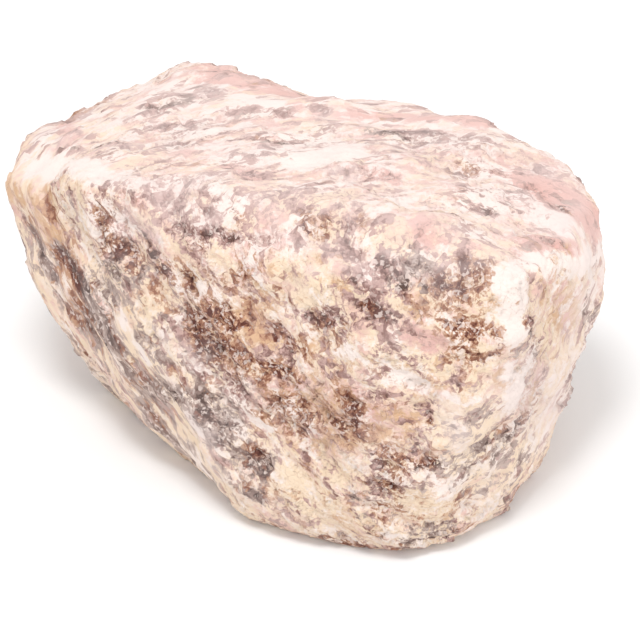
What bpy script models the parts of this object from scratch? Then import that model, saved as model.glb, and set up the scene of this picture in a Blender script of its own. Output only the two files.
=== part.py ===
"""A hand-sized raw chunk of pink aventurine, one solid, lying on its own flat break.

The chunk is built the way it broke: the hull of its corners gives the large
break faces, spheres scoop out the flake scars, the edges are worn round, and
the surface is then carved with lumps, flat chips, the ledges of its mineral
layers and small pits. +Z is up, X is its length, and the origin is under its
middle.
"""

from math import floor

import bmesh
import bpy
from mathutils import Matrix, Vector, noise

MM = 0.001

# Driving dimensions, in millimetres: the finished stone is brought to them
LENGTH = 74.2
DEPTH = 64.6
HEIGHT = 37.6

TRIANGLES = 10500        # some of them go with the cut below the rest face
FINE_VOXEL = 0.8
REST_CUT = 3.0            # how much is cut off below the rest face
WEAR_STEPS = 12
WEAR_FACTOR = 0.5

# The mineral layers that the stone splits along
LAYER_NORMAL = Vector((0.20, -0.66, 0.72)).normalized()

# Surface relief, in millimetres unless said otherwise
LUMP_HEIGHT = 0.7
LUMP_SPAN = 15.0
CHIP_SPAN = 8.0
CHIP_FLATNESS = 1.7      # how many times thinner a chip is across the layers than along them
CHIP_TILT = 0.07         # rise over run
CHIP_EDGE = 0.12         # share of a chip's width that its edge takes
LAYER_THICKNESS = 3.4
LAYER_WANDER = 2.6
LAYER_WANDER_SPAN = 14.0
LAYER_SEED = 7.3
LEDGE_HEIGHT = 1.0
LEDGE_SPAN = 13.0
LEDGE_EDGE = 0.30        # share of a layer's thickness that its step takes
PIT_SPACING = 6.0
PIT_RADIUS = 0.34        # share of the spacing
PIT_DEPTH = 0.6
PIT_SHARE = 0.6          # share of the cells that have one
PIT_SEED = 31.7

STONE_COLOUR = (0.80, 0.60, 0.54, 1.0)
STONE_ROUGHNESS = 0.6

# The corners between its break faces, (x, y, z) in millimetres over the floor.
# -Y is the front, where the stone split along its layers.
TOP_CORNERS = {
    "left_corner": (-37.2, 8.4, 27.4),
    "left_back": (-35.4, 20.0, 27.6),
    "left_shoulder": (-30.2, 24.6, 28.8),
    "peak_left": (-19.4, 32.4, 30.4),
    "peak": (-14.0, 32.8, 31.6),
    "peak_right": (-8.0, 30.4, 32.0),
    "back_middle": (16.0, 17.4, 32.8),
    "back_right": (22.8, 15.8, 32.6),
    "right_back": (32.4, 9.0, 30.0),
    "right_shoulder": (36.8, 3.4, 28.6),
    "right_corner": (37.4, -4.8, 25.4),
}
BROW_CORNERS = {
    "left_ridge_top": (-26.6, -4.0, 35.4),
    "brow_left": (-11.0, -7.4, 37.2),
    "brow_middle": (3.2, -12.4, 37.6),
    "brow_right": (16.2, -15.8, 36.6),
    "under_brow_left": (-10.4, -14.6, 32.6),
    "under_brow_middle": (3.6, -20.8, 32.4),
    "under_brow_right": (16.6, -24.2, 31.0),
    "right_ridge_top": (26.4, -20.6, 32.8),
}
FRONT_CORNERS = {
    "left_ridge_middle": (-20.4, -15.2, 19.4),
    "left_ridge_low": (-11.6, -22.6, 10.4),
    "front_belly": (4.6, -27.4, 20.0),
    "front_low": (7.4, -31.2, 9.6),
    "right_ridge_high": (25.4, -23.8, 27.0),
    "right_ridge_middle": (26.4, -20.6, 18.4),
    "right_bend": (18.6, -28.6, 19.2),
    "right_ridge_low": (16.4, -30.6, 12.0),
    "right_cheek": (36.6, -6.6, 19.4),
}
FOOT_CORNERS = {
    "left_belly": (-31.0, 0.6, 12.0),
    "left_low": (-22.0, -9.4, 7.0),
    "left_foot": (-5.4, -26.8, 2.2),
    "front_left_foot": (0.6, -30.0, 1.8),
    "tip": (10.0, -32.6, 1.8),
    "front_right_foot": (15.0, -31.6, 2.2),
    "right_foot": (25.0, -24.4, 0.8),
    "right_foot_back": (29.2, -18.8, 2.0),
    "right_low": (32.6, -11.0, 11.0),
}
BACK_CORNERS = {
    "far_left_low": (-31.0, 14.0, 11.0),
    "back_left_low": (-23.0, 25.0, 10.0),
    "back_left_foot": (-14.0, 24.0, 3.0),
    "back_middle_low": (0.0, 24.6, 8.0),
    "back_right_low": (21.0, 15.6, 9.0),
    "right_back_low": (32.0, 2.0, 10.0),
}
REST_CORNERS = {
    "rest_front": (9.6, -28.6, -REST_CUT),
    "rest_front_right": (21.6, -20.2, -REST_CUT),
    "rest_right": (26.4, -9.0, -REST_CUT),
    "rest_back_right": (22.0, 5.0, -REST_CUT),
    "rest_back": (2.0, 15.0, -REST_CUT),
    "rest_back_left": (-16.0, 15.0, -REST_CUT),
    "rest_left": (-24.0, 4.0, -REST_CUT),
    "rest_front_left": (-13.4, -11.0, -REST_CUT),
}

# Flake scars: the centre of the round hollow, which lies outside the stone,
# and its radius, in millimetres.
SCARS = {
    "back_saddle": ((5.0, 33.2, 49.2), 21.5),
    "left_notch": ((-27.6, 33.0, 43.4), 16.6),
    "back_flake": ((12.0, 44.0, 14.0), 25.5),
    "back_corner_flake": ((-40.0, 34.0, 13.0), 19.5),
    "right_back_flake": ((52.0, 16.0, 18.0), 23.0),
}


def hull_of_corners():
    """The stone as it broke: the convex hull of its corners."""
    shape = bmesh.new()
    for group in (TOP_CORNERS, BROW_CORNERS, FRONT_CORNERS, FOOT_CORNERS, BACK_CORNERS, REST_CORNERS):
        for corner in group.values():
            shape.verts.new(Vector(corner) * MM)
    made = bmesh.ops.convex_hull(shape, input=shape.verts)
    spare = set(made["geom_interior"] + made["geom_unused"])
    inside = [item for item in spare if isinstance(item, bmesh.types.BMVert)]
    bmesh.ops.delete(shape, geom=inside, context="VERTS")
    return shape


def new_object(name, mesh, collection):
    """A mesh as an object of its own in a collection."""
    made = bpy.data.objects.new(name, mesh)
    collection.objects.link(made)
    return made


def scar_cutter(name, centre, radius, cutters):
    """The ball that scoops one flake scar; it is only a cutter, and isn't shown."""
    ball = bmesh.new()
    bmesh.ops.create_uvsphere(ball, u_segments=48, v_segments=24, radius=radius * MM)
    mesh = bpy.data.meshes.new(name)
    ball.to_mesh(mesh)
    ball.free()
    cutter = new_object(name, mesh, cutters)
    cutter.location = Vector(centre) * MM
    cutter.hide_render = True
    cutter.display_type = "WIRE"
    return cutter


def evaluated_mesh(thing):
    """The object's mesh with its modifiers applied."""
    graph = bpy.context.evaluated_depsgraph_get()
    return bpy.data.meshes.new_from_object(thing.evaluated_get(graph))


def worn_blank(parts, cutters):
    """The hull with its flake scars cut in and its edges worn round, as a fine mesh."""
    mesh = bpy.data.meshes.new("blank")
    hull_of_corners().to_mesh(mesh)
    blank = new_object("blank", mesh, parts)
    for name, (centre, radius) in SCARS.items():
        cut = blank.modifiers.new(name, "BOOLEAN")
        cut.operation = "DIFFERENCE"
        cut.object = scar_cutter(name, centre, radius, cutters)
    remesh = blank.modifiers.new("even_faces", "REMESH")
    remesh.mode = "VOXEL"
    remesh.voxel_size = FINE_VOXEL * MM
    wear = blank.modifiers.new("wear", "SMOOTH")
    wear.iterations = WEAR_STEPS
    wear.factor = WEAR_FACTOR
    fine = evaluated_mesh(blank)
    bpy.data.objects.remove(blank)
    return fine


def smooth_step(value, start, end):
    """0 before start, 1 after end and an even curve between them."""
    share = min(1.0, max(0.0, (value - start) / (end - start)))
    return share * share * (3.0 - 2.0 * share)


def lump(point):
    """Broad swells and hollows over the break faces."""
    return LUMP_HEIGHT * noise.fractal(point / LUMP_SPAN, 1.0, 2.0, 3)


def chip(point):
    """The flat chips that a hammered break leaves: each is a small plane with a tilt of its own."""
    across = LAYER_NORMAL * point.dot(LAYER_NORMAL)
    squeezed = (point + across * (CHIP_FLATNESS - 1.0)) / CHIP_SPAN
    distances, centres = noise.voronoi(squeezed)
    planes = [CHIP_SPAN * CHIP_TILT * noise.cell_vector(centre).dot(squeezed - centre) for centre in centres[:2]]
    own_share = smooth_step(distances[1] - distances[0], -CHIP_EDGE, CHIP_EDGE)
    return planes[1] + (planes[0] - planes[1]) * own_share


def ledge(point):
    """The step of the mineral layer that a point lies in, which fades in and out along the layer."""
    wander = LAYER_WANDER * noise.noise(point / LAYER_WANDER_SPAN)
    level = (point.dot(LAYER_NORMAL) + wander) / LAYER_THICKNESS
    layer = floor(level)
    steps = []
    for index in (layer, layer + 1):
        seed = Vector((LAYER_SEED * index, -LAYER_SEED * index, 0.0))
        steps.append(noise.noise(point / LEDGE_SPAN + seed))
    rise = smooth_step(level - layer, 1.0 - LEDGE_EDGE, 1.0)
    return LEDGE_HEIGHT * (steps[0] + (steps[1] - steps[0]) * rise)


def pit(point):
    """A small hollow where a grain has dropped out, in some cells only."""
    distances, centres = noise.voronoi(point / PIT_SPACING)
    if noise.cell(centres[0] * PIT_SEED) > PIT_SHARE:
        return 0.0
    return -PIT_DEPTH * (1.0 - smooth_step(distances[0], 0.0, PIT_RADIUS))


def carve(mesh):
    """Moves each point of the fine mesh along its normal by the relief there."""
    moves = []
    for vertex in mesh.vertices:
        point = vertex.co / MM
        height = lump(point) + chip(point) + ledge(point) + pit(point)
        moves.append(vertex.normal * height * MM)
    for vertex, move in zip(mesh.vertices, moves):
        vertex.co += move


def thinned(mesh, parts):
    """The same surface with few triangles, which are smaller where it bends."""
    stand_in = new_object("stand_in", mesh, parts)
    mesh.calc_loop_triangles()
    decimate = stand_in.modifiers.new("fewer_faces", "DECIMATE")
    decimate.ratio = TRIANGLES / len(mesh.loop_triangles)
    decimate.use_collapse_triangulate = True
    coarse = evaluated_mesh(stand_in)
    bpy.data.objects.remove(stand_in)
    return coarse


def cut_rest_face(mesh):
    """Cuts the underside off flat at the floor, and closes it with one face."""
    shape = bmesh.new()
    shape.from_mesh(mesh)
    everything = shape.verts[:] + shape.edges[:] + shape.faces[:]
    cut = bmesh.ops.bisect_plane(
        shape, geom=everything, plane_co=(0, 0, 0), plane_no=(0, 0, 1), clear_inner=True
    )
    rim = [item for item in cut["geom_cut"] if isinstance(item, bmesh.types.BMEdge)]
    bmesh.ops.contextual_create(shape, geom=rim)
    bmesh.ops.recalc_face_normals(shape, faces=shape.faces)
    shape.to_mesh(mesh)
    shape.free()


def bring_to_size(mesh):
    """Centres the stone's length and depth over the origin, and scales it to the driving dimensions."""
    lows, spans = Vector(), Vector()
    for axis in range(3):
        values = [vertex.co[axis] for vertex in mesh.vertices]
        lows[axis] = min(values)
        spans[axis] = max(values) - lows[axis]
    under_middle = Vector((lows.x + spans.x / 2, lows.y + spans.y / 2, lows.z))
    mesh.transform(Matrix.Translation(-under_middle))
    mesh.transform(Matrix.Diagonal((LENGTH * MM / spans.x, DEPTH * MM / spans.y, HEIGHT * MM / spans.z, 1.0)))


def pink_aventurine():
    """Pale pink quartz, fairly matt where it is broken."""
    material = bpy.data.materials.new("pink_aventurine")
    material.use_nodes = True
    shader = material.node_tree.nodes["Principled BSDF"]
    shader.inputs["Base Color"].default_value = STONE_COLOUR
    shader.inputs["Roughness"].default_value = STONE_ROUGHNESS
    shader.inputs["Metallic"].default_value = 0.0
    return material


def build():
    for thing in list(bpy.data.objects):
        bpy.data.objects.remove(thing)
    parts = bpy.data.collections.new("raw_aventurine")
    cutters = bpy.data.collections.new("cutters")
    for collection in (parts, cutters):
        bpy.context.scene.collection.children.link(collection)
    fine = worn_blank(parts, cutters)
    carve(fine)
    stone = thinned(fine, parts)
    cut_rest_face(stone)
    bring_to_size(stone)
    stone.name = "aventurine"
    stone.materials.append(pink_aventurine())
    stone.shade_smooth()
    new_object("aventurine", stone, parts)


build()
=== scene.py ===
"""The looks of a raw chunk of pink aventurine: a fine skin over its solid, and its stone.

The skin starts as the solid's own surface, made finer and smooth, and is then
carved with the relief that the solid is too coarse for. Each point of it also
keeps how much of each mineral it holds. The material sorts those shares into
grains, along the same mineral layers.
"""

from math import cos, floor, radians, sin

import bpy
import numpy as np
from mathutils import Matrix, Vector, noise


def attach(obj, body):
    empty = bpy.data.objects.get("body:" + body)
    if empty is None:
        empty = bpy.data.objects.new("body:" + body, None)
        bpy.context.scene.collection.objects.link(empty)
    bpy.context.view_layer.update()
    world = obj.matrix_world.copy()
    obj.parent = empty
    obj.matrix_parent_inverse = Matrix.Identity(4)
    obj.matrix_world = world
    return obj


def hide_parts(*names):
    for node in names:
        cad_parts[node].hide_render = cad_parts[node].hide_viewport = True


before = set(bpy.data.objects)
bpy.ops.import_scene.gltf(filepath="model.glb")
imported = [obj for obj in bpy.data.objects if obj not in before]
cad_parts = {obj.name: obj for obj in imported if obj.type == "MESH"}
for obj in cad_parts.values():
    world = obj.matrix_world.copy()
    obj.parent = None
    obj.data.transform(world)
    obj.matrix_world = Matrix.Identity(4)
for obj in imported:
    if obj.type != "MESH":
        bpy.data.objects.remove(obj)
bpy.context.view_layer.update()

MM = 0.001

# The camera, in millimetres and degrees; a millimetre at its target is PIXELS_PER_MM pixels
TARGET = Vector((2.1, -7.35, 17.5))
ELEVATION = 35.0
DISTANCE = 380.0
PIXELS_PER_MM = 8.2
FRAME_PIXELS = 640
SENSOR = 36.0
CLIP_START = 10.0
CLIP_END = 10000.0

# The mineral layers that the stone splits along, as in its solid
LAYER_NORMAL = Vector((0.20, -0.66, 0.72)).normalized()
LAYER_FLATNESS = 2.8     # how many times thinner a mineral lens is across the layers than along them
STREAK_FLATNESS = 3.4    # the same for the streaks

# The skin's even mesh, in millimetres, and how often and how far it is smoothed
SKIN_VOXEL = 0.41
SKIN_SMOOTHING = 14
SMOOTHING_FACTOR = 0.5

# The skin's relief, in millimetres unless said otherwise
LEAF_THICKNESS = 1.1
LEAF_WANDER = 1.4
LEAF_WANDER_SPAN = 6.0
LEAF_SPAN = 5.0
LEAF_HEIGHT = 0.12
LEAF_SHIFT = (3.7, -5.1)          # where in the noise the next leaf is, in the noise's own units
LEAF_STEP = (0.5, 1.0)            # the shares of a leaf's thickness between which its edge rises
CHIPS = {3.2: 0.16, 1.3: 0.09}    # tilt of the small flat facets, for each span of them
CHIP_EDGE = 0.08                  # in the facets' own units
GRAIN_SPAN = 1.5
GRAIN_HEIGHT = 0.12
GRAIN_OCTAVES = 3
CRACK_SPAN = 11.0
CRACK_OCTAVES = 4
CRACK_SHIFT = 5.0
CRACK_WIDTH = 0.022               # in the noise's own units
CRACK_DEPTH = 0.35
RUGGED = 1.0                      # how much rougher the facets are where mica is rich
RUGGED_MICA = (0.25, 0.7)         # the shares of mica between which they grow rougher
MICA_HOLLOW = 0.25
HOLLOW_MICA = (0.2, 0.8)          # how much more mica than white there is where it starts and is full
WORN_AWAY = 0.65                  # share of the relief that is gone where the stone is worn
REST_FADE = 1.2                   # height over which the relief fades towards the rest face

# Blender's fractal noise: how much smoother and finer each octave is than the last
OCTAVE_SMOOTHNESS = 0.9
OCTAVE_FINENESS = 2.0

# What each kind of patch adds to the shares of the minerals
MINERALS = {
    "mauve": {"mica": 0.30, "brown": -0.2},
    "speckled": {"mica": 0.12, "white": 0.1},
    "slate": {"mica": 0.31, "grey": 0.5, "calm": -0.2, "bloom": -0.15},
    "brown": {"mica": 0.30, "brown": 0.6, "ochre": 0.25},
    "maroon": {"mica": 0.46, "brown": 0.8, "calm": -0.2},
    "dark": {"mica": 0.48, "brown": 0.3, "grey": 0.2, "calm": -0.2},
    "tan": {"mica": 0.05, "ochre": 0.7, "brown": 0.4, "white": -0.3},
    "peach": {"mica": -0.25, "ochre": 0.35, "pink": 0.3},
    "cream": {"mica": -0.35, "pink": -0.5, "ochre": 0.1},
    "white": {"mica": -0.45, "white": 0.7, "calm": 0.3},
    "pink": {"pink": 0.8, "white": -0.4, "bloom": -0.1},
    "rose": {"mica": 0.2, "brown": -0.3, "pink": 0.9, "white": -0.4, "calm": -0.4, "bloom": -0.1},
    "pale": {"mica": -0.15, "white": 0.25, "bloom": 0.3},
    # A cool grey tint: partly grey stone, partly painted shade on faces turned from the light
    "ashen_shade": {"mica": 0.05, "grey": 0.7, "ochre": -0.5, "pink": -0.25, "white": 0.1, "calm": 0.25},
    "warm": {"ochre": 0.15, "pink": 0.15, "grey": -0.3},
    "cool": {"ochre": -0.5, "pink": 0.2, "white": 0.15},
    "smooth": {"calm": 0.7},
}

# Where the minerals stand out: the kind of patch, its two ends and its reach, in millimetres
PATCHES = {
    # The narrow left side
    "strip_tan": ("tan", (-32.2, 2.7, 29.1), (-29.9, -1.2, 24.4), 2.6),
    "strip_mauve": ("mauve", (-32.8, 3.0, 21.5), (-29.9, -1.1, 16.1), 1.8),
    "strip_outer": ("maroon", (-32.0, 1.6, 20.6), (-30.8, 0.0, 19.0), 0.9),
    "strip_core_high": ("dark", (-29.7, -1.5, 23.8), (-26.8, -6.4, 22.1), 1.7),
    "strip_core_mark": ("maroon", (-29.5, -1.7, 22.8), (-27.7, -3.9, 21.3), 1.8),
    "strip_core_middle": ("maroon", (-26.8, -6.4, 22.1), (-24.0, -9.9, 21.1), 2.4),
    "strip_core_outer": ("brown", (-28.8, -2.4, 15.0), (-27.5, -3.9, 14.5), 1.2),
    "strip_core_low": ("maroon", (-28.0, -3.5, 16.0), (-23.7, -11.0, 17.5), 2.0),
    "strip_tail": ("brown", (-23.5, -11.4, 16.2), (-18.9, -14.7, 12.3), 2.0),
    "strip_foot": ("brown", (-21.0, -12.7, 11.1), (-15.9, -16.0, 6.0), 1.2),
    "corner_ochre": ("tan", (-36.1, 8.0, 28.2), (-34.7, 5.0, 26.3), 1.1),
    # The top
    "top_right_white": ("white", (26.6, -16.9, 32.1), (34.5, -8.1, 26.5), 1.5),
    "top_right_core": ("maroon", (30.9, -2.1, 31.0), (32.0, -3.8, 30.9), 0.6),
    "top_right_speck": ("brown", (28.1, 0.4, 31.6), (29.0, 0.0, 31.3), 0.6),
    "top_right_pink_low": ("pink", (27.5, -12.9, 32.3), (32.1, -9.5, 29.7), 1.4),
    "top_right_pink_high": ("pink", (29.5, -0.5, 31.1), (34.8, -2.7, 28.7), 3.4),
    "top_right_pink_inner": ("pink", (25.2, 2.1, 32.3), (34.9, -1.1, 28.9), 2.7),
    "top_right_rose_a": ("rose", (27.3, 0.1, 31.8), (29.3, -0.2, 31.2), 0.8),
    "top_right_rose_b": ("rose", (30.8, -2.6, 31.0), (32.5, -3.8, 30.6), 1.1),
    "top_right_rose_c": ("rose", (28.1, -11.3, 32.1), (31.8, -10.4, 29.8), 0.9),
    "top_shoulder_dark": ("maroon", (18.1, 0.6, 33.5), (20.1, 1.8, 33.3), 1.2),
    "top_shoulder_grey": ("slate", (19.2, -8.1, 34.5), (22.8, -8.1, 33.7), 0.8),
    "top_shoulder_pink": ("pink", (13.5, -14.7, 36.3), (15.4, -16.2, 35.6), 1.4),
    "top_pink_right": ("rose", (7.6, -3.1, 35.9), (10.7, -3.5, 35.6), 1.2),
    "top_pink_left": ("rose", (-9.4, -2.2, 36.4), (-5.5, -4.5, 36.4), 1.1),
    "top_bright": ("white", (-0.3, -0.9, 35.7), (5.7, 2.6, 35.7), 2.1),
    "top_white": ("pale", (4.0, -3.7, 36.8), (5.9, -3.6, 35.9), 1.2),
    "top_corner_white": ("white", (-33.1, 8.6, 29.6), (-25.3, -1.4, 35.1), 2.0),
    "back_pink": ("pink", (7.1, 14.2, 33.8), (22.1, 14.4, 32.7), 1.4),
    "back_grey": ("slate", (7.3, 9.9, 34.3), (15.1, 7.6, 33.8), 0.8),
    "back_mauve": ("mauve", (12.0, 10.3, 33.5), (22.6, 8.5, 33.4), 1.4),
    "back_middle": ("mauve", (-2.4, 13.9, 34.5), (2.3, 13.8, 34.3), 1.1),
    "back_streak_a": ("mauve", (-17.2, 10.8, 34.1), (-12.0, 12.3, 34.1), 0.8),
    "back_cluster": ("mauve", (-18.8, 14.2, 34.1), (-13.3, 19.1, 33.6), 1.2),
    "back_streak_b": ("slate", (-19.2, 16.3, 33.6), (-14.7, 18.2, 33.4), 0.9),
    "back_streak_c": ("mauve", (-13.6, 21.5, 33.1), (-9.0, 19.2, 33.7), 0.9),
    "back_far_pink": ("pink", (-13.7, 24.3, 32.4), (-6.8, 21.5, 33.2), 0.8),
    "top_left_streak_a": ("slate", (-30.1, 9.5, 31.4), (-28.0, 8.3, 32.4), 0.6),
    "top_left_streak_b": ("slate", (-25.9, 7.5, 32.9), (-22.6, 5.2, 34.9), 0.6),
    "top_left_streak_c": ("mauve", (-20.7, 2.7, 35.3), (-14.5, 5.5, 34.7), 0.6),
    "top_left_streak_d": ("slate", (-12.1, 6.4, 35.1), (-2.3, 4.6, 35.2), 0.5),
    "top_left_pink": ("pink", (-30.5, 22.4, 28.0), (-28.7, 12.1, 32.1), 1.5),
    "back_white": ("white", (-7.4, 18.0, 33.8), (-3.1, 15.4, 34.5), 0.9),
    "back_white_left": ("white", (-11.4, 8.5, 34.9), (-7.0, 10.7, 34.5), 0.9),
    "top_left_cream": ("cream", (-28.1, 16.6, 30.8), (-23.3, 9.0, 33.5), 1.5),
    # The brow
    "brow_mauve": ("mauve", (-15.9, -6.8, 36.0), (-12.3, -11.6, 34.6), 2.7),
    "brow_band": ("mauve", (-15.6, -11.0, 33.6), (-7.3, -14.0, 33.9), 0.8),
    "brow_brown": ("tan", (-13.8, -7.5, 36.4), (-11.6, -9.4, 36.2), 0.9),
    "brow_shade": ("mauve", (-0.2, -15.3, 35.0), (6.3, -17.6, 33.8), 1.2),
    "brow_line": ("mauve", (-8.7, -13.5, 33.9), (-3.7, -15.2, 34.4), 0.9),
    "brow_rust": ("brown", (-15.9, -12.9, 29.2), (-13.5, -14.5, 28.3), 1.5),
    "brow_rust_core": ("maroon", (-14.0, -14.2, 28.9), (-13.7, -14.3, 28.7), 0.6),
    "brow_speckled": ("speckled", (-9.2, -16.0, 30.1), (-6.1, -17.9, 28.6), 2.0),
    "brow_left_cream": ("cream", (-10.3, -14.9, 31.9), (-8.9, -15.8, 30.9), 1.2),
    "brow_left_shade": ("mauve", (-11.3, -13.6, 33.3), (-9.6, -14.4, 33.1), 1.1),
    "brow_core": ("maroon", (0.2, -12.6, 36.9), (2.1, -14.9, 35.3), 1.2),
    "brow_streak": ("brown", (7.2, -13.5, 36.6), (9.8, -14.6, 36.5), 1.1),
    "brow_spot": ("mauve", (5.0, -14.3, 35.8), (5.8, -15.5, 35.2), 0.8),
    "brow_cream": ("cream", (-2.1, -18.2, 32.5), (1.6, -20.7, 30.2), 1.8),
    "brow_gap": ("cream", (-5.4, -17.9, 29.7), (-4.4, -18.5, 29.3), 0.8),
    "brow_tan": ("tan", (2.3, -16.4, 34.3), (4.2, -20.1, 32.7), 1.4),
    # The bright edge above the left side, and the front beside it
    "ridge_pale_high": ("cream", (-26.6, -4.5, 33.8), (-25.9, -4.9, 27.6), 0.8),
    "ridge_pale_low": ("white", (-21.7, -12.3, 20.9), (-18.8, -15.5, 17.4), 0.9),
    "left_dark_edge": ("maroon", (-24.8, -6.3, 32.5), (-24.1, -7.7, 30.6), 0.5),
    "left_dark_high": ("maroon", (-23.9, -7.7, 30.6), (-22.7, -9.3, 29.0), 1.2),
    "left_dark_upper": ("maroon", (-21.7, -9.4, 29.4), (-19.6, -11.4, 27.9), 1.2),
    "left_gap": ("cream", (-14.2, -13.0, 31.5), (-12.5, -15.1, 28.7), 0.9),
    "left_high_pale": ("pale", (-20.6, -8.6, 33.3), (-17.8, -10.5, 32.7), 1.7),
    "left_dark_line": ("dark", (-19.0, -10.1, 31.9), (-17.3, -12.2, 28.7), 0.4),
    "left_dark_low": ("slate", (-23.2, -10.2, 27.3), (-22.0, -11.1, 26.8), 0.6),
    "left_cream": ("tan", (-21.3, -12.4, 23.3), (-18.1, -14.1, 24.0), 1.2),
    "left_white": ("white", (-12.5, -15.3, 27.7), (-10.6, -16.5, 27.9), 0.9),
    "left_grey": ("mauve", (-19.2, -15.1, 18.6), (-14.5, -15.2, 23.8), 1.5),
    "left_shade": ("brown", (-17.6, -13.0, 25.8), (-16.7, -13.6, 25.1), 1.1),
    # The brown wedge across the front
    "wedge_brown": ("brown", (-11.3, -17.0, 26.0), (-7.5, -19.9, 24.3), 2.3),
    "wedge_gold": ("tan", (-6.3, -18.6, 26.5), (-4.2, -20.4, 24.9), 1.4),
    "wedge_peach": ("peach", (-5.4, -21.0, 23.7), (-3.8, -21.7, 22.7), 1.4),
    "wedge_low": ("brown", (-9.7, -19.1, 21.4), (-8.0, -20.8, 21.7), 1.1),
    "wedge_gap": ("peach", (1.2, -24.7, 20.8), (2.1, -25.4, 20.4), 0.9),
    "wedge_top": ("mauve", (-1.2, -20.3, 28.2), (0.2, -21.1, 27.7), 1.1),
    "wedge_tail": ("maroon", (-7.1, -21.7, 20.7), (-4.9, -22.9, 20.4), 1.4),
    "wedge_core_left": ("maroon", (-12.1, -17.0, 23.9), (-10.9, -18.3, 21.7), 2.0),
    "wedge_heart": ("maroon", (-11.9, -17.4, 22.8), (-11.2, -18.1, 21.9), 1.2),
    "wedge_core_right": ("maroon", (-9.9, -17.6, 26.1), (-7.3, -19.2, 25.5), 1.1),
    "wedge_tail_core": ("maroon", (-3.3, -22.3, 21.6), (-2.1, -22.8, 21.1), 0.8),
    "wedge_tail_brown": ("brown", (-3.0, -20.3, 25.7), (0.2, -22.9, 23.8), 1.2),
    # The middle of the front
    "middle_slate": ("dark", (2.1, -22.1, 27.2), (4.0, -23.3, 26.9), 2.0),
    "middle_mauve": ("mauve", (7.7, -20.5, 32.4), (12.7, -21.5, 31.9), 3.0),
    "middle_high": ("slate", (9.3, -19.3, 33.2), (11.1, -20.5, 32.6), 1.2),
    "middle_rim": ("cream", (10.2, -17.0, 34.6), (11.9, -17.5, 34.5), 0.9),
    "middle_gap": ("cream", (5.3, -20.7, 32.2), (5.8, -21.2, 31.7), 0.8),
    "middle_right": ("slate", (12.1, -18.0, 34.3), (14.6, -19.1, 33.9), 1.5),
    "middle_right_low": ("slate", (12.5, -20.7, 32.5), (13.7, -21.3, 32.1), 0.9),
    "middle_core_a": ("maroon", (7.2, -22.2, 30.2), (8.6, -22.9, 29.5), 0.8),
    "middle_core_b": ("dark", (7.9, -23.4, 29.0), (10.9, -23.4, 29.1), 0.9),
    "middle_cream": ("cream", (3.0, -23.6, 25.4), (5.6, -25.2, 24.3), 2.1),
    "middle_white": ("white", (4.2, -24.4, 25.2), (5.1, -24.9, 24.7), 0.9),
    "middle_peach": ("pink", (12.7, -24.8, 27.4), (16.0, -24.9, 26.1), 1.4),
    "middle_low_cream": ("cream", (14.8, -25.8, 24.8), (16.7, -25.9, 24.3), 1.2),
    "middle_edge": ("brown", (14.8, -23.6, 29.7), (16.2, -23.9, 29.1), 1.2),
    "middle_right_cream": ("cream", (13.7, -21.9, 31.6), (14.8, -22.7, 31.1), 1.1),
    "middle_gap_low": ("cream", (10.4, -22.4, 30.6), (12.5, -22.8, 30.6), 0.8),
    # The purple grains right of the middle
    "purple_high": ("maroon", (18.3, -20.2, 33.3), (20.9, -19.9, 33.2), 2.0),
    "purple_high_core": ("dark", (19.5, -19.8, 33.5), (20.9, -19.8, 33.3), 1.2),
    "purple_tan": ("maroon", (16.2, -21.7, 32.1), (18.7, -22.6, 30.8), 1.7),
    "purple_cream": ("cream", (19.7, -22.7, 30.2), (22.9, -22.5, 29.2), 1.4),
    "purple_rim": ("white", (21.5, -20.5, 32.7), (22.9, -21.2, 32.0), 1.1),
    "purple_cream_low": ("cream", (19.7, -25.0, 25.8), (20.9, -24.9, 25.3), 0.9),
    "purple_ochre_seam": ("tan", (15.5, -19.4, 33.8), (14.1, -23.3, 30.1), 1.2),
    "purple_core": ("maroon", (17.6, -24.6, 28.2), (19.7, -24.2, 27.9), 1.4),
    "purple_core_low": ("maroon", (18.3, -24.6, 27.9), (19.2, -24.9, 26.4), 1.1),
    "purple_tail": ("brown", (20.4, -24.3, 27.7), (23.0, -24.0, 26.9), 1.1),
    "purple_low": ("maroon", (17.1, -25.5, 25.4), (20.0, -25.3, 24.4), 1.4),
    "purple_hook": ("dark", (21.1, -25.3, 23.8), (22.7, -24.6, 25.3), 0.6),
    # The smooth grey facet and the heel under it
    "facet_white": ("pale", (-16.5, -16.3, 20.9), (-12.6, -19.1, 19.7), 1.2),
    "facet_grey": ("mauve", (-12.4, -19.2, 19.5), (-7.3, -21.8, 18.4), 1.8),
    "facet_dark_a": ("dark", (-16.6, -17.1, 14.1), (-12.9, -20.9, 14.8), 1.7),
    "facet_dark_b": ("dark", (-10.2, -22.4, 14.0), (-9.1, -23.0, 13.1), 2.1),
    "heel_shade": ("slate", (-15.2, -16.1, 4.9), (-13.2, -18.9, 4.9), 1.4),
    "heel_mauve": ("mauve", (-19.1, -14.2, 7.7), (-17.7, -15.2, 6.3), 1.4),
    "facet_pale": ("pale", (-13.4, -21.2, 12.9), (-10.8, -22.9, 10.4), 1.2),
    # The low part of the front, down to the foot
    "foot_rust": ("brown", (-6.0, -25.6, 9.4), (-5.0, -26.7, 6.7), 2.0),
    "foot_rust_core": ("maroon", (-5.5, -25.5, 10.2), (-4.5, -26.3, 9.0), 0.9),
    "low_middle_shade": ("mauve", (-7.6, -22.1, 16.6), (-6.6, -22.8, 15.9), 0.9),
    "low_mottled": ("dark", (-2.6, -24.3, 17.0), (-0.3, -25.4, 15.5), 1.7),
    "olive_brown": ("brown", (2.3, -26.2, 17.6), (6.3, -28.1, 16.7), 2.4),
    "olive_high": ("brown", (3.5, -26.0, 20.9), (4.9, -26.7, 20.3), 1.2),
    "olive_core": ("maroon", (4.7, -27.8, 16.7), (6.3, -27.6, 18.6), 1.1),
    "olive_ochre": ("tan", (3.3, -27.8, 14.3), (8.6, -28.6, 16.4), 1.1),
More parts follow.
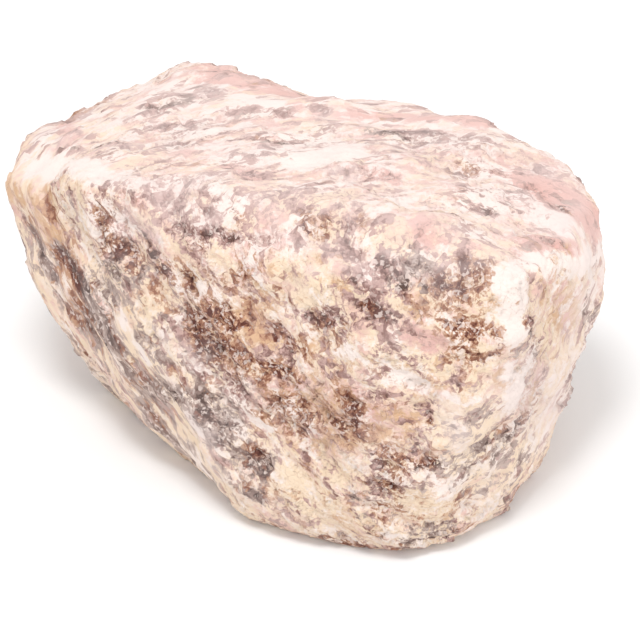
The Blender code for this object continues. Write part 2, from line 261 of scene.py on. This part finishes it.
    "low_ochre": ("peach", (8.8, -27.8, 18.8), (12.8, -28.4, 18.0), 1.4),
    "low_gap": ("cream", (8.8, -27.8, 18.8), (9.6, -28.2, 17.9), 0.8),
    "low_spot": ("dark", (14.7, -28.1, 18.1), (14.9, -28.3, 17.4), 0.5),
    "low_white": ("white", (10.9, -26.4, 22.4), (14.2, -26.8, 21.4), 1.1),
    "low_core": ("dark", (10.0, -29.9, 13.3), (10.3, -30.7, 10.4), 2.3),
    "low_speck": ("dark", (13.8, -30.4, 12.2), (16.1, -29.8, 12.6), 0.8),
    "low_side_shade": ("mauve", (13.3, -29.4, 15.6), (13.8, -30.7, 11.3), 1.7),
    "low_grey": ("slate", (6.8, -30.5, 7.8), (8.2, -31.0, 6.4), 1.8),
    "foot_cream": ("cream", (-2.0, -27.3, 8.4), (2.7, -30.0, 5.2), 2.4),
    "foot_shade": ("mauve", (-3.1, -25.4, 11.3), (-1.7, -26.7, 9.7), 1.1),
    "low_front_cream": ("cream", (2.6, -27.7, 11.6), (4.2, -28.9, 10.5), 1.4),
    # Painted shadow: a dark band along the foot, where the stone curves under towards the floor
    "foot_painted_shadow": ("dark", (2.3, -29.2, 1.1), (7.6, -30.2, 0.6), 0.9),
    "foot_edge": ("slate", (13.2, -32.0, 3.1), (17.0, -30.5, 3.3), 1.5),
    "low_right_bright": ("pale", (16.7, -27.7, 19.8), (18.7, -28.9, 14.9), 1.4),
    "low_right_streak_high": ("mauve", (22.0, -26.3, 17.6), (23.6, -25.3, 18.6), 0.6),
    "low_right_streak_middle": ("mauve", (21.7, -26.1, 13.0), (26.1, -22.5, 13.3), 1.2),
    "low_right_streak_core": ("dark", (24.1, -24.1, 12.5), (25.3, -23.2, 13.0), 0.8),
    "low_right_streak_low": ("mauve", (18.1, -29.4, 9.9), (22.5, -25.7, 10.7), 1.2),
    "low_foot_cream": ("cream", (13.3, -31.0, 9.7), (14.8, -30.9, 7.3), 1.4),
    "low_right_cream": ("cream", (16.8, -28.2, 18.5), (21.2, -25.8, 21.6), 1.4),
    "foot_pale": ("pale", (-10.8, -23.3, 7.3), (-9.9, -24.0, 6.7), 1.1),
    "low_left_pale": ("cream", (-24.9, 1.0, 0.8), (-23.7, 0.3, 0.0), 1.5),
    # The right side
    "right_ochre": ("tan", (23.1, -24.7, 21.4), (24.5, -24.0, 22.3), 1.5),
    # Painted highlight: a white band along the right ridge
    "right_ridge_highlight": ("white", (24.3, -19.5, 33.1), (25.1, -23.4, 26.6), 1.7),
    "right_peach": ("peach", (28.4, -17.2, 29.0), (31.5, -13.2, 21.9), 2.4),
    "right_cream": ("cream", (29.4, -16.9, 22.7), (30.9, -16.2, 14.9), 2.1),
    "right_ridge_slate": ("slate", (26.4, -21.2, 26.9), (27.6, -20.0, 21.8), 1.1),
    "right_shade_low": ("mauve", (28.8, -18.5, 17.7), (28.1, -19.6, 15.6), 0.8),
    "edge_streak_high": ("slate", (34.6, -8.7, 23.7), (34.0, -9.6, 20.2), 0.6),
    "edge_streak_low": ("slate", (34.9, -8.5, 18.9), (32.1, -13.4, 9.9), 2.0),
    "edge_shade_high": ("mauve", (35.2, -8.6, 17.8), (34.3, -9.8, 15.7), 1.1),
    "edge_shade_low": ("mauve", (33.1, -11.2, 13.4), (31.3, -14.3, 9.9), 1.1),
    "right_white_low": ("peach", (28.0, -19.5, 18.5), (26.8, -20.9, 15.4), 1.4),
    "right_white_foot": ("white", (24.0, -24.3, 21.9), (25.3, -24.0, 18.3), 1.4),
    # Broad tints
    "broad_left_high_cool": ("cool", (-22.9, -7.1, 32.7), (-6.1, -14.7, 34.1), 4.0),
    "broad_right_pale": ("pale", (34.9, -5.9, 26.8), (33.1, -11.0, 12.8), 6.7),
    # Grey tints on the lower left, the left side and its foot: partly grey stone, partly painted shade
    "broad_low_left_ash": ("ashen_shade", (-23.2, -11.3, 18.8), (-8.6, -24.4, 9.1), 8.2),
    "broad_strip_ash": ("ashen_shade", (-33.9, 2.8, 19.5), (-27.1, 1.4, 3.6), 4.6),
    "broad_strip_foot_ash": ("ashen_shade", (-27.1, 1.4, 3.6), (-12.4, -20.3, 5.1), 3.4),
    "broad_strip_smooth_high": ("smooth", (-35.6, 7.2, 28.5), (-30.1, -0.7, 15.9), 6.9),
    "broad_strip_smooth_low": ("smooth", (-27.2, -5.1, 18.9), (-13.6, -19.4, 6.8), 6.1),
    "broad_back_smooth": ("smooth", (-31.1, 21.9, 27.9), (19.6, 15.4, 32.8), 6.1),
    "broad_right_smooth": ("smooth", (34.4, -5.4, 27.9), (31.2, -14.3, 10.5), 5.5),
    # A grey tint on the lower right: partly grey stone, partly painted shade
    "broad_low_right_ash": ("ashen_shade", (19.7, -28.0, 13.9), (26.1, -22.4, 6.0), 6.1),
    "broad_low_right_pale": ("pale", (25.5, -23.8, 20.5), (29.3, -16.9, 9.5), 4.0),
    "broad_front_warm": ("warm", (-6.1, -15.6, 33.3), (-1.4, -24.4, 18.0), 7.6),
    "broad_low_warm": ("warm", (-0.3, -25.4, 15.8), (11.4, -28.5, 16.6), 5.3),
    "broad_left_cool": ("cool", (-29.2, 15.0, 30.9), (-0.3, 2.7, 35.7), 6.9),
    "broad_back_cool": ("cool", (-19.3, 19.7, 33.2), (14.6, 15.5, 32.8), 5.3),
    "broad_right_cool": ("cool", (21.6, 3.7, 33.5), (34.8, -3.6, 28.2), 6.1),
    # On the sides that the photograph does not show
    "behind_slate": ("slate", (16.0, 18.6, 17.2), (5.0, 20.5, 21.6), 4.0),
    "behind_slate_core": ("dark", (12.0, 19.2, 18.3), (8.0, 19.9, 20.5), 1.8),
    "behind_rust": ("brown", (-2.0, 22.8, 12.9), (-11.0, 27.4, 17.8), 3.2),
    "behind_rust_core": ("maroon", (-5.0, 24.5, 14.2), (-9.0, 27.0, 16.7), 1.4),
    "behind_vein": ("white", (22.0, 15.9, 27.9), (-4.0, 27.0, 25.8), 1.6),
    "behind_tan": ("tan", (-12.0, 30.8, 25.5), (-19.0, 30.0, 22.3), 3.2),
    "behind_pink": ("pink", (2.0, 19.5, 32.6), (-12.0, 27.3, 32.0), 3.0),
    "behind_shade": ("mauve", (24.0, 12.7, 11.1), (17.0, 17.4, 8.9), 4.5),
    "behind_cream": ("cream", (6.0, 19.3, 10.2), (0.0, 22.2, 7.7), 3.0),
    "behind_white": ("white", (-17.0, 27.7, 13.7), (-22.0, 27.7, 16.8), 2.2),
    "right_back_slate": ("slate", (24.6, 13.2, 18.8), (17.1, 17.9, 13.8), 3.6),
    "right_back_core": ("maroon", (22.6, 14.6, 17.5), (19.6, 16.7, 15.2), 1.6),
    "right_back_rust": ("brown", (13.0, 19.6, 25.4), (3.0, 20.3, 19.7), 3.0),
    "right_back_vein": ("white", (31.7, 9.4, 29.9), (21.3, 16.3, 26.6), 1.6),
    "right_back_pink": ("pink", (29.7, 6.6, 13.2), (23.9, 13.0, 9.5), 3.0),
    "left_back_dark": ("dark", (-34.7, 16.9, 22.7), (-34.2, 8.2, 18.1), 3.0),
    "left_back_rust": ("brown", (-27.8, 25.0, 28.2), (-32.7, 20.4, 24.7), 3.2),
    "left_back_vein": ("white", (-22.3, 27.3, 17.2), (-26.4, 20.2, 13.4), 1.8),
}
PATCH_EDGE = 0.6         # share of the reach over which a patch fades on each side of its edge
WARPS = {4.0: 0.8, 1.5: 0.5}    # how far a point is moved, for each span of the warp in millimetres
WARP_SEED = 3            # without a seed, the warp is another one in each run

# Each mineral's share where no patch is: its mean, how much it varies and over what span.
# Bloom is a pale film on the stone, and calm is how worn, smooth and glassy the stone is; on the top
# both are also raised as painted light from above.
BACKGROUND = {
    "mica": (0.28, 0.26, 6.0),
    "brown": (0.40, 0.50, 10.0),
    "grey": (0.10, 0.45, 8.0),
    "white": (0.12, 0.45, 6.0),
    "ochre": (0.25, 0.45, 8.0),
    "pink": (0.45, 0.55, 9.0),
    "bloom": (0.05, 0.15, 7.0),
    "calm": (0.1, 0.35, 8.0),
}
BACKGROUND_OCTAVES = 4
BACKGROUND_SHIFT = 17.0  # from one of them to the next, in the noise's own units
# What the top adds to them where it faces up: its own pinker, worn stone, and paler, calmer shares that
# are painted light from above; and how much the surface faces up where it starts and is full
TOP_SHARES_AND_PAINTED_LIGHT = {
    "mica": -0.05,
    "brown": -0.35,
    "white": 0.24,
    "pink": 0.25,
    "ochre": -0.8,
    "bloom": 0.28,
    "calm": 0.42,
}
TOP_FACING = (0.65, 0.95)

# Albedos, linear
CREAM = (0.84, 0.66, 0.49, 1.0)
WHITE = (0.88, 0.76, 0.70, 1.0)
PINK = (0.72, 0.45, 0.40, 1.0)
OCHRE = (0.66, 0.42, 0.26, 1.0)
# Mica as a thin stain, dark and as a core: mauve, brown and grey
MICA_TONES = (
    ((0.52, 0.335, 0.300, 1.0), (0.52, 0.295, 0.19, 1.0), (0.47, 0.355, 0.31, 1.0)),
    ((0.28, 0.155, 0.135, 1.0), (0.27, 0.11, 0.065, 1.0), (0.265, 0.18, 0.155, 1.0)),
    ((0.11, 0.050, 0.040, 1.0), (0.11, 0.028, 0.018, 1.0), (0.105, 0.062, 0.052, 1.0)),
)
# The darkness at which each of the three starts and is full
MICA_STEPS = ((0.30, 0.52), (0.58, 0.84), (0.92, 1.2))
# Painted glints: the light that the mica flakes reflect, painted as pale specks
PAINTED_GLINT = (0.82, 0.68, 0.62, 1.0)
# Thin lines between grains: partly their own dark borders, partly painted shade in the crevices
SEAM_AND_SHADE = (0.40, 0.24, 0.17, 1.0)
# The bloom's pale colour, which on the top is partly painted light from above
BLOOM = (0.74, 0.62, 0.60, 1.0)

# The material's noises: span in millimetres, detail, roughness and gain
STREAKS = (4.0, 1.3, 0.5, 3.0)
ROUGH = (2.2, 5.0, 0.65, 4.0)
TINT = (2.4, 3.0, 0.6, 4.0)
GRAIN = (0.5, 2.0, 0.7, 3.5)
TINT_SHIFT = (31.0, 17.0, 5.0)    # so that the tint is no copy of the rough noise
# How the material bends the lenses, in millimetres
BEND_SPAN = 2.2
BEND_REACH = 0.12
# The crystal grains of each size, in millimetres across
COARSE_CELL = 2.6
FINE_CELL = 1.15
TINY_CELL = 0.42
TINY_FLATNESS = 1.5
OUTLINE_WIDTH = 0.05     # as a share of a fine grain
CALM_HUSH = 0.75         # share of the fine variation that is gone where the stone is calm

# What the material sorts the grains by, and how much of each thing is in it. The shares of the
# minerals go by their names; _a, _b and _c are the three random values of each crystal grain.
SUMS = {
    "pinkness": {"pink": 1.0, "coarse_c": 0.6, "fine_c": 0.5, "tint": 0.7, "grain": 0.3},
    "ochreness": {"ochre": 1.0, "coarse_b": 0.5, "fine_b": 0.4, "tint": -0.7, "grain": 0.3},
    "whiteness": {"white": 1.0, "coarse_a": -0.4, "fine_a": -0.35, "rough": -0.6, "grain": -0.4},
    "brownness": {"brown": 1.0, "coarse_b": 0.4, "fine_b": 0.5, "tint": 0.4},
    "greyness": {"grey": 1.0, "coarse_c": 0.3, "fine_c": 0.5, "tint": -0.4},
    "flecks": {"tiny_a": 0.9, "grain": 0.5},
    "mottle": {"fine_a": 0.7, "flecks": 1.0},
    "darkness": {"mica": 1.0, "coarse_a": 0.5, "mottle": 1.0, "rough": 0.45, "bands": 1.0},
    # The lines between grains, partly painted shade in their crevices
    "seams_and_shade": {"rough": 1.0, "grain": 1.0},
    # The painted glints of the mica flakes
    "painted_glints": {"tiny_c": 1.0, "grain": 0.4},
    "height": {"streaks": 0.4, "fine_b": 1.0, "tiny_b": 0.6, "rough": 0.8, "grain": 0.6, "seams_and_shade": -0.8},
}
# Where some of them start and where they are full
SUM_STEPS = {
    "pinkness": (0.1, 1.5),
    "ochreness": (0.4, 1.1),
    "whiteness": (0.15, 0.8),
    "brownness": (0.3, 0.8),
    "greyness": (0.35, 0.8),
    "seams_and_shade": (-0.2, 0.6),
    "painted_glints": (0.28, 0.42),
}
# What each grows by with something else, and what it is without that
FLECKS_BY_MICA = (0.7, 0.2)
BANDS_BY_CALM = (0.32, 0.12)
ROUGHNESS_BY_GRAIN = (0.15, 0.58)
PAINTED_GLINT_MICA = (0.2, 0.8)  # the shares of mica between which the glints grow
SEAM_AND_SHADE_STRENGTH = 0.5
PAINTED_GLINT_STRENGTH = 0.7
SPECULAR_LEVEL = 0.3
BUMP_STRENGTH = 0.7
BUMP_DISTANCE = 0.16     # in millimetres

# The studio, in metres, watts and linear colours
FLOOR_SIZE = 6.0
FLOOR_WHITE = (0.90, 0.90, 0.90, 1.0)
FLOOR_ROUGHNESS = 0.9
SKY_WHITE = (1.0, 1.0, 1.0, 1.0)
WORLD_STRENGTH = 0.9
LIGHT_DISTANCE = 0.50
KEY_FROM = Vector((-0.14, -0.20, 1.0))
KEY_SIZE = 0.16
KEY_POWER = 1.0
FILL_FROM = Vector((0.8, -0.7, 0.35))
FILL_SIZE = 0.40
FILL_POWER = 0.40

# Blender's texture noise keeps within about a quarter of its middle, which this brings to about 1
NOISE_SWING = 4.0
MIDDLE = (0.5, 0.5, 0.5)
# The places of a Mix node's colour sockets among its inputs, and of its colour among its outputs
MIX_FACTOR = 0
MIX_FIRST = 6
MIX_SECOND = 7
MIX_RESULT = 2


def added(name, data):
    """A new object of the scene, made from its data."""
    made = bpy.data.objects.new(name, data)
    bpy.context.scene.collection.objects.link(made)
    return made


# The skin

def smooth_step(values, start, end):
    """0 before start, 1 after end and an even curve between them."""
    share = np.clip((values - start) / (end - start), 0.0, 1.0)
    return share * share * (3.0 - 2.0 * share)


def flattened(points, flatness):
    """The points in a space where a lens that lies along the layers is round."""
    normal = np.array(LAYER_NORMAL)
    return points + np.outer(points @ normal * (flatness - 1.0), normal)


def fractal(points, span, octaves, shift=0.0):
    """Smooth noise about 0 at each point, with features about as wide as span."""
    heights = []
    for place in points / span + shift:
        heights.append(noise.fractal(Vector(place), OCTAVE_SMOOTHNESS, OCTAVE_FINENESS, octaves))
    return np.array(heights)


def warped(points):
    """The points moved about, so that what is drawn from them has ragged edges."""
    moved = points.copy()
    for span, reach in WARPS.items():
        places = flattened(points, LAYER_FLATNESS) / span
        moved += reach * np.array([noise.noise_vector(Vector(place)) for place in places])
    return moved


def away_from(points, start, end):
    """How far each point is from the straight line between two ends."""
    line = np.subtract(end, start)
    shares = np.clip((points - start) @ line / max(line @ line, 1e-9), 0.0, 1.0)
    return np.linalg.norm(points - start - np.outer(shares, line), axis=1)


def minerals_at(points, up):
    """How much of each mineral each point holds, given how much its surface faces up."""
    lenses = flattened(points, LAYER_FLATNESS)
    shares = {}
    for index, (mineral, (mean, spread, span)) in enumerate(BACKGROUND.items()):
        varied = fractal(lenses, span, BACKGROUND_OCTAVES, BACKGROUND_SHIFT * index)
        shares[mineral] = mean + spread * varied
    # The top's own pinker stone, and painted light from above that makes it paler and calmer
    for mineral, more in TOP_SHARES_AND_PAINTED_LIGHT.items():
        shares[mineral] += more * smooth_step(up, *TOP_FACING)
    moved = warped(points)
    for kind, start, end, reach in PATCHES.values():
        away = away_from(moved, start, end) / reach
        inside = 1.0 - smooth_step(away, 1.0 - PATCH_EDGE, 1.0 + PATCH_EDGE)
        for mineral, more in MINERALS[kind].items():
            shares[mineral] += more * inside
    return shares


def leaf(point):
    """The edges of thin mineral leaves, which make low steps and streaks."""
    wander = LEAF_WANDER * noise.noise(point / LEAF_WANDER_SPAN)
    level = (point.dot(LAYER_NORMAL) + wander) / LEAF_THICKNESS
    layer = floor(level)
    heights = []
    for index in (layer, layer + 1):
        seed = Vector((LEAF_SHIFT[0] * index, LEAF_SHIFT[1] * index, 0.0))
        heights.append(noise.noise(point / LEAF_SPAN + seed))
    rise = (heights[1] - heights[0]) * smooth_step(level - layer, *LEAF_STEP)
    return LEAF_HEIGHT * (heights[0] + rise)


def chip(lens, span, tilt):
    """The small flat facets of a hackly break."""
    place = lens / span
    distances, centres = noise.voronoi(place)
    planes = [span * tilt * noise.cell_vector(centre).dot(place - centre) for centre in centres[:2]]
    own_share = smooth_step(distances[1] - distances[0], -CHIP_EDGE, CHIP_EDGE)
    return planes[1] + (planes[0] - planes[1]) * own_share


def relief_at(points, minerals):
    """How far each point of the skin stands out of the smooth surface."""
    lenses = flattened(points, LAYER_FLATNESS)
    heights = np.array([leaf(Vector(point)) for point in points])
    rugged = 1.0 + RUGGED * smooth_step(minerals["mica"], *RUGGED_MICA)
    for span, tilt in CHIPS.items():
        heights += rugged * np.array([chip(Vector(lens), span, tilt) for lens in lenses])
    heights += GRAIN_HEIGHT * fractal(lenses, GRAIN_SPAN, GRAIN_OCTAVES)
    crack = np.abs(fractal(points, CRACK_SPAN, CRACK_OCTAVES, CRACK_SHIFT))
    heights -= CRACK_DEPTH * (1.0 - smooth_step(crack, 0.0, CRACK_WIDTH))
    heights -= MICA_HOLLOW * smooth_step(minerals["mica"] - minerals["white"], *HOLLOW_MICA)
    worn = np.clip(minerals["calm"], 0.0, 1.0)
    return heights * (1.0 - WORN_AWAY * worn) * smooth_step(points[:, 2], 0.0, REST_FADE)


def fine_copy(node):
    """A CAD node's surface as an even fine mesh, with its facets smoothed away."""
    source = added("skin_source", node.data.copy())
    remesh = source.modifiers.new("even_faces", "REMESH")
    remesh.mode = "VOXEL"
    remesh.voxel_size = SKIN_VOXEL * MM
    smooth = source.modifiers.new("no_facets", "SMOOTH")
    smooth.factor = SMOOTHING_FACTOR
    smooth.iterations = SKIN_SMOOTHING
    graph = bpy.context.evaluated_depsgraph_get()
    mesh = bpy.data.meshes.new_from_object(source.evaluated_get(graph))
    bpy.data.objects.remove(source)
    return mesh


def skin(node):
    """The stone's visible surface, carved and marked with its minerals."""
    mesh = fine_copy(node)
    count = len(mesh.vertices)
    points = np.empty(count * 3)
    mesh.vertices.foreach_get("co", points)
    points = points.reshape(-1, 3) / MM
    normals = np.empty(count * 3)
    mesh.vertex_normals.foreach_get("vector", normals)
    normals = normals.reshape(-1, 3)
    minerals = minerals_at(points, normals[:, 2])
    points += normals * relief_at(points, minerals)[:, None]
    points[:, 2] = np.maximum(points[:, 2], 0.0)
    mesh.vertices.foreach_set("co", points.ravel() * MM)
    for mineral, shares in minerals.items():
        mesh.attributes.new(mineral, "FLOAT", "POINT").data.foreach_set("value", shares)
    mesh.materials.clear()
    mesh.materials.append(aventurine())
    mesh.shade_smooth()
    return added("stone_skin", mesh)


# The material

class Nodes:
    """A short way to add a material's nodes and link them."""

    def __init__(self, material):
        material.use_nodes = True
        self.tree = material.node_tree
        self.shader = self.tree.nodes["Principled BSDF"]

    def fill(self, socket, value):
        """Links a node's output to the socket, or sets it to a plain value."""
        if isinstance(value, bpy.types.NodeSocket):
            self.tree.links.new(value, socket)
        else:
            socket.default_value = value

    def math(self, operation, *values):
        """One sum with numbers."""
        made = self.tree.nodes.new("ShaderNodeMath")
        made.operation = operation
        for socket, value in zip(made.inputs, values):
            self.fill(socket, value)
        return made.outputs[0]

    def vector(self, operation, first, second=None, scale=None):
        """One sum with places or other vectors."""
        made = self.tree.nodes.new("ShaderNodeVectorMath")
        made.operation = operation
        self.fill(made.inputs[0], first)
        if second is not None:
            self.fill(made.inputs[1], second)
        if scale is not None:
            self.fill(made.inputs["Scale"], scale)
        return made.outputs["Value" if operation == "DOT_PRODUCT" else "Vector"]

    def step(self, value, start, end):
        """0 before start, 1 after end and an even curve between them."""
        made = self.tree.nodes.new("ShaderNodeMapRange")
        made.interpolation_type = "SMOOTHSTEP"
        self.fill(made.inputs["Value"], value)
        made.inputs["From Min"].default_value = start
        made.inputs["From Max"].default_value = end
        return made.outputs["Result"]

    def mix(self, share, first, second):
        """One colour going over into another."""
        made = self.tree.nodes.new("ShaderNodeMix")
        made.data_type = "RGBA"
        for index, value in ((MIX_FACTOR, share), (MIX_FIRST, first), (MIX_SECOND, second)):
            self.fill(made.inputs[index], value)
        return made.outputs[MIX_RESULT]

    def texture(self, kind, place, span):
        """A texture node with features about as wide as span in millimetres."""
        made = self.tree.nodes.new("ShaderNodeTex" + kind)
        self.fill(made.inputs["Vector"], place)
        made.inputs["Scale"].default_value = 1.0 / span
        return made

    def noise(self, place, span, detail, roughness, gain):
        """Noise about 0."""
        made = self.texture("Noise", place, span)
        made.inputs["Detail"].default_value = detail
        made.inputs["Roughness"].default_value = roughness
        return self.math("MULTIPLY_ADD", made.outputs["Fac"], gain, -0.5 * gain)

    def moved(self, place, span, reach):
        """The place moved about by smooth noise."""
        made = self.texture("Noise", place, span)
        made.inputs["Detail"].default_value = 1.0
        centred = self.vector("SUBTRACT", made.outputs["Color"], MIDDLE)
        return self.vector("ADD", place, self.vector("SCALE", centred, scale=NOISE_SWING * reach))

    def flattened(self, place, flatness):
        """The place in a space where a lens that lies along the layers is round."""
        across = self.vector("DOT_PRODUCT", place, tuple(LAYER_NORMAL))
        push = self.math("MULTIPLY", across, flatness - 1.0)
        return self.vector("ADD", place, self.vector("SCALE", tuple(LAYER_NORMAL), scale=push))

    def outlines(self, place, span, width):
        """1 along the borders of the crystal grains, 0 away from them."""
        made = self.texture("Voronoi", place, span)
        made.feature = "DISTANCE_TO_EDGE"
        return self.math("SUBTRACT", 1.0, self.step(made.outputs["Distance"], 0.0, width))

    def cells(self, place, span):
        """Three random values about 0 for each crystal grain."""
        made = self.texture("Voronoi", place, span)
        split = self.tree.nodes.new("ShaderNodeSeparateXYZ")
        self.fill(split.inputs[0], self.vector("SUBTRACT", made.outputs["Color"], MIDDLE))
        return split.outputs

    def share(self, mineral):
        """A mineral's share, as the skin's points keep it."""
        made = self.tree.nodes.new("ShaderNodeAttribute")
        made.attribute_name = mineral
        return made.outputs["Fac"]

    def clamped(self, value):
        """The value, held between 0 and 1."""
        made = self.tree.nodes.new("ShaderNodeClamp")
        self.fill(made.inputs["Value"], value)
        return made.outputs["Result"]


class StoneNodes(Nodes):
    """The values that the stone's material is made from, each under its name in self.values."""

    def __init__(self, material):
        super().__init__(material)
        self.values = {mineral: self.share(mineral) for mineral in BACKGROUND}
        for mineral in ("calm", "bloom"):
            self.values[mineral] = self.clamped(self.values[mineral])
        lively = self.math("MULTIPLY_ADD", self.values["calm"], -CALM_HUSH, 1.0)
        self.values["lively"] = lively

        coordinates = self.tree.nodes.new("ShaderNodeTexCoord")
        place = self.vector("SCALE", coordinates.outputs["Object"], scale=1.0 / MM)
        bent = self.moved(place, BEND_SPAN, BEND_REACH)
        lens = self.flattened(bent, LAYER_FLATNESS)
        self.keep_cells("coarse", lens, COARSE_CELL)
        self.keep_cells("fine", lens, FINE_CELL)
        self.keep_cells("tiny", self.flattened(bent, TINY_FLATNESS), TINY_CELL)
        self.values["outlines"] = self.outlines(lens, FINE_CELL, OUTLINE_WIDTH)

        self.values["streaks"] = self.noise(self.flattened(place, STREAK_FLATNESS), *STREAKS)
        self.values["rough"] = self.product(lively, self.noise(lens, *ROUGH))
        self.values["tint"] = self.noise(self.vector("ADD", lens, TINT_SHIFT), *TINT)
        self.values["grain"] = self.product(lively, self.noise(bent, *GRAIN))

    def keep_cells(self, size, place, span):
        """Keeps the random values of one size of crystal grain as size_a, size_b and size_c."""
        for letter, value in zip("abc", self.cells(place, span)):
            self.values[f"{size}_{letter}"] = value

    def product(self, first, second):
        """One value times another."""
        return self.math("MULTIPLY", first, second)

    def grown(self, value, growth):
        """A value's straight-line effect: so much for each part of it, from a start."""
        gain, start = growth
        return self.math("MULTIPLY_ADD", value, gain, start)

    def total(self, name):
        """What SUMS says of the name: values, each times its weight."""
        result = 0.0
        for value, weight in SUMS[name].items():
            result = self.math("MULTIPLY_ADD", self.values[value], weight, result)
        return result

    def sorted_out(self, name):
        """Where a sum is high: 0 before its step and 1 after it."""
        return self.step(self.total(name), *SUM_STEPS[name])


def quartz(nodes):
    """The pale body of the stone: cream, with pink, ochre and white grains in it."""
    colour = nodes.mix(nodes.sorted_out("pinkness"), CREAM, PINK)
    colour = nodes.mix(nodes.sorted_out("ochreness"), colour, OCHRE)
    return nodes.mix(nodes.sorted_out("whiteness"), colour, WHITE)


def with_mica(nodes, colour):
    """Mica and stained grains, from thin stains to dark cores, in streaks where the stone is calm."""
    values = nodes.values
    values["flecks"] = nodes.product(nodes.total("flecks"), nodes.grown(values["mica"], FLECKS_BY_MICA))
    values["mottle"] = nodes.product(values["lively"], nodes.total("mottle"))
    values["bands"] = nodes.product(values["streaks"], nodes.grown(values["calm"], BANDS_BY_CALM))
    darkness = nodes.total("darkness")
    brownness = nodes.sorted_out("brownness")
    greyness = nodes.sorted_out("greyness")
    for (mauve, brown, grey), (start, end) in zip(MICA_TONES, MICA_STEPS):
        tone = nodes.mix(greyness, nodes.mix(brownness, mauve, brown), grey)
        colour = nodes.mix(nodes.step(darkness, start, end), colour, tone)
    return colour


def with_seams_and_shade(nodes, colour):
    """Thin brown lines between the fine grains, where the stone is lively: partly the grains' own dark
    borders and partly painted shade in the crevices between them.
    """
    values = nodes.values
    lines = nodes.product(values["outlines"], nodes.sorted_out("seams_and_shade"))
    values["seams_and_shade"] = nodes.product(lines, nodes.product(values["lively"], SEAM_AND_SHADE_STRENGTH))
    return nodes.mix(values["seams_and_shade"], colour, SEAM_AND_SHADE)


def with_painted_glints(nodes, colour):
    """Painted glints: the light that the mica flakes reflect, painted as tiny bright specks."""
    mica = nodes.step(nodes.values["mica"], *PAINTED_GLINT_MICA)
    painted_glints = nodes.product(nodes.sorted_out("painted_glints"), mica)
    return nodes.mix(nodes.product(painted_glints, PAINTED_GLINT_STRENGTH), colour, PAINTED_GLINT)


def aventurine():
    """Quartz grains in cream, white and pink, with grains, flakes and stains of mica among them,
    painted glints on the flakes and partly painted shade between the grains.
    """
    material = bpy.data.materials.new("aventurine_stone")
    nodes = StoneNodes(material)
    colour = with_painted_glints(nodes, with_seams_and_shade(nodes, with_mica(nodes, quartz(nodes))))
    # A pale film, and on the top also painted light from above
    colour = nodes.mix(nodes.values["bloom"], colour, BLOOM)
    inputs = nodes.shader.inputs
    nodes.fill(inputs["Base Color"], colour)
    inputs["Specular IOR Level"].default_value = SPECULAR_LEVEL
    nodes.fill(inputs["Roughness"], nodes.grown(nodes.values["grain"], ROUGHNESS_BY_GRAIN))

    bump = nodes.tree.nodes.new("ShaderNodeBump")
    bump.inputs["Strength"].default_value = BUMP_STRENGTH
    bump.inputs["Distance"].default_value = BUMP_DISTANCE * MM
    nodes.fill(bump.inputs["Height"], nodes.product(nodes.values["lively"], nodes.total("height")))
    nodes.fill(inputs["Normal"], bump.outputs["Normal"])
    return material


# The studio

def camera():
    """Looks at the front from above."""
    data = bpy.data.cameras.new("camera")
    data.sensor_width = SENSOR
    data.lens = SENSOR * PIXELS_PER_MM * DISTANCE / FRAME_PIXELS
    data.clip_start = CLIP_START * MM
    data.clip_end = CLIP_END * MM
    made = added("camera", data)
    back = Vector((0.0, -cos(radians(ELEVATION)), sin(radians(ELEVATION))))
    made.location = (TARGET + back * DISTANCE) * MM
    made.rotation_euler = back.to_track_quat("Z", "Y").to_euler()
    bpy.context.scene.camera = made


def softbox(name, direction, size, power):
    """A round soft light that shines from a direction on the stone."""
    data = bpy.data.lights.new(name, "AREA")
    data.shape = "DISK"
    data.size = size
    data.energy = power
    made = added(name, data)
    made.location = direction.normalized() * LIGHT_DISTANCE
    made.rotation_euler = direction.to_track_quat("Z", "Y").to_euler()


def floor_plane():
    """A plain white floor."""
    bpy.ops.mesh.primitive_plane_add(size=FLOOR_SIZE)
    ground = bpy.context.object
    ground.name = "floor"
    paint = bpy.data.materials.new("floor_white")
    paint.use_nodes = True
    inputs = paint.node_tree.nodes["Principled BSDF"].inputs
    inputs["Base Color"].default_value = FLOOR_WHITE
    inputs["Roughness"].default_value = FLOOR_ROUGHNESS
    inputs["Specular IOR Level"].default_value = 0.0
    ground.data.materials.append(paint)


def sky():
    """An even white light from all around."""
    world = bpy.data.worlds.new("studio")
    world.use_nodes = True
    inputs = world.node_tree.nodes["Background"].inputs
    inputs["Color"].default_value = SKY_WHITE
    inputs["Strength"].default_value = WORLD_STRENGTH
    bpy.context.scene.world = world


def studio():
    """The floor, the sky, a soft light from above and a weak one from the right."""
    bpy.context.scene.view_settings.view_transform = "Standard"
    floor_plane()
    sky()
    softbox("key", KEY_FROM, KEY_SIZE, KEY_POWER)
    softbox("fill", FILL_FROM, FILL_SIZE, FILL_POWER)


noise.seed_set(WARP_SEED)
camera()
studio()
stone = skin(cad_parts["aventurine"])
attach(stone, "root")
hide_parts("aventurine")
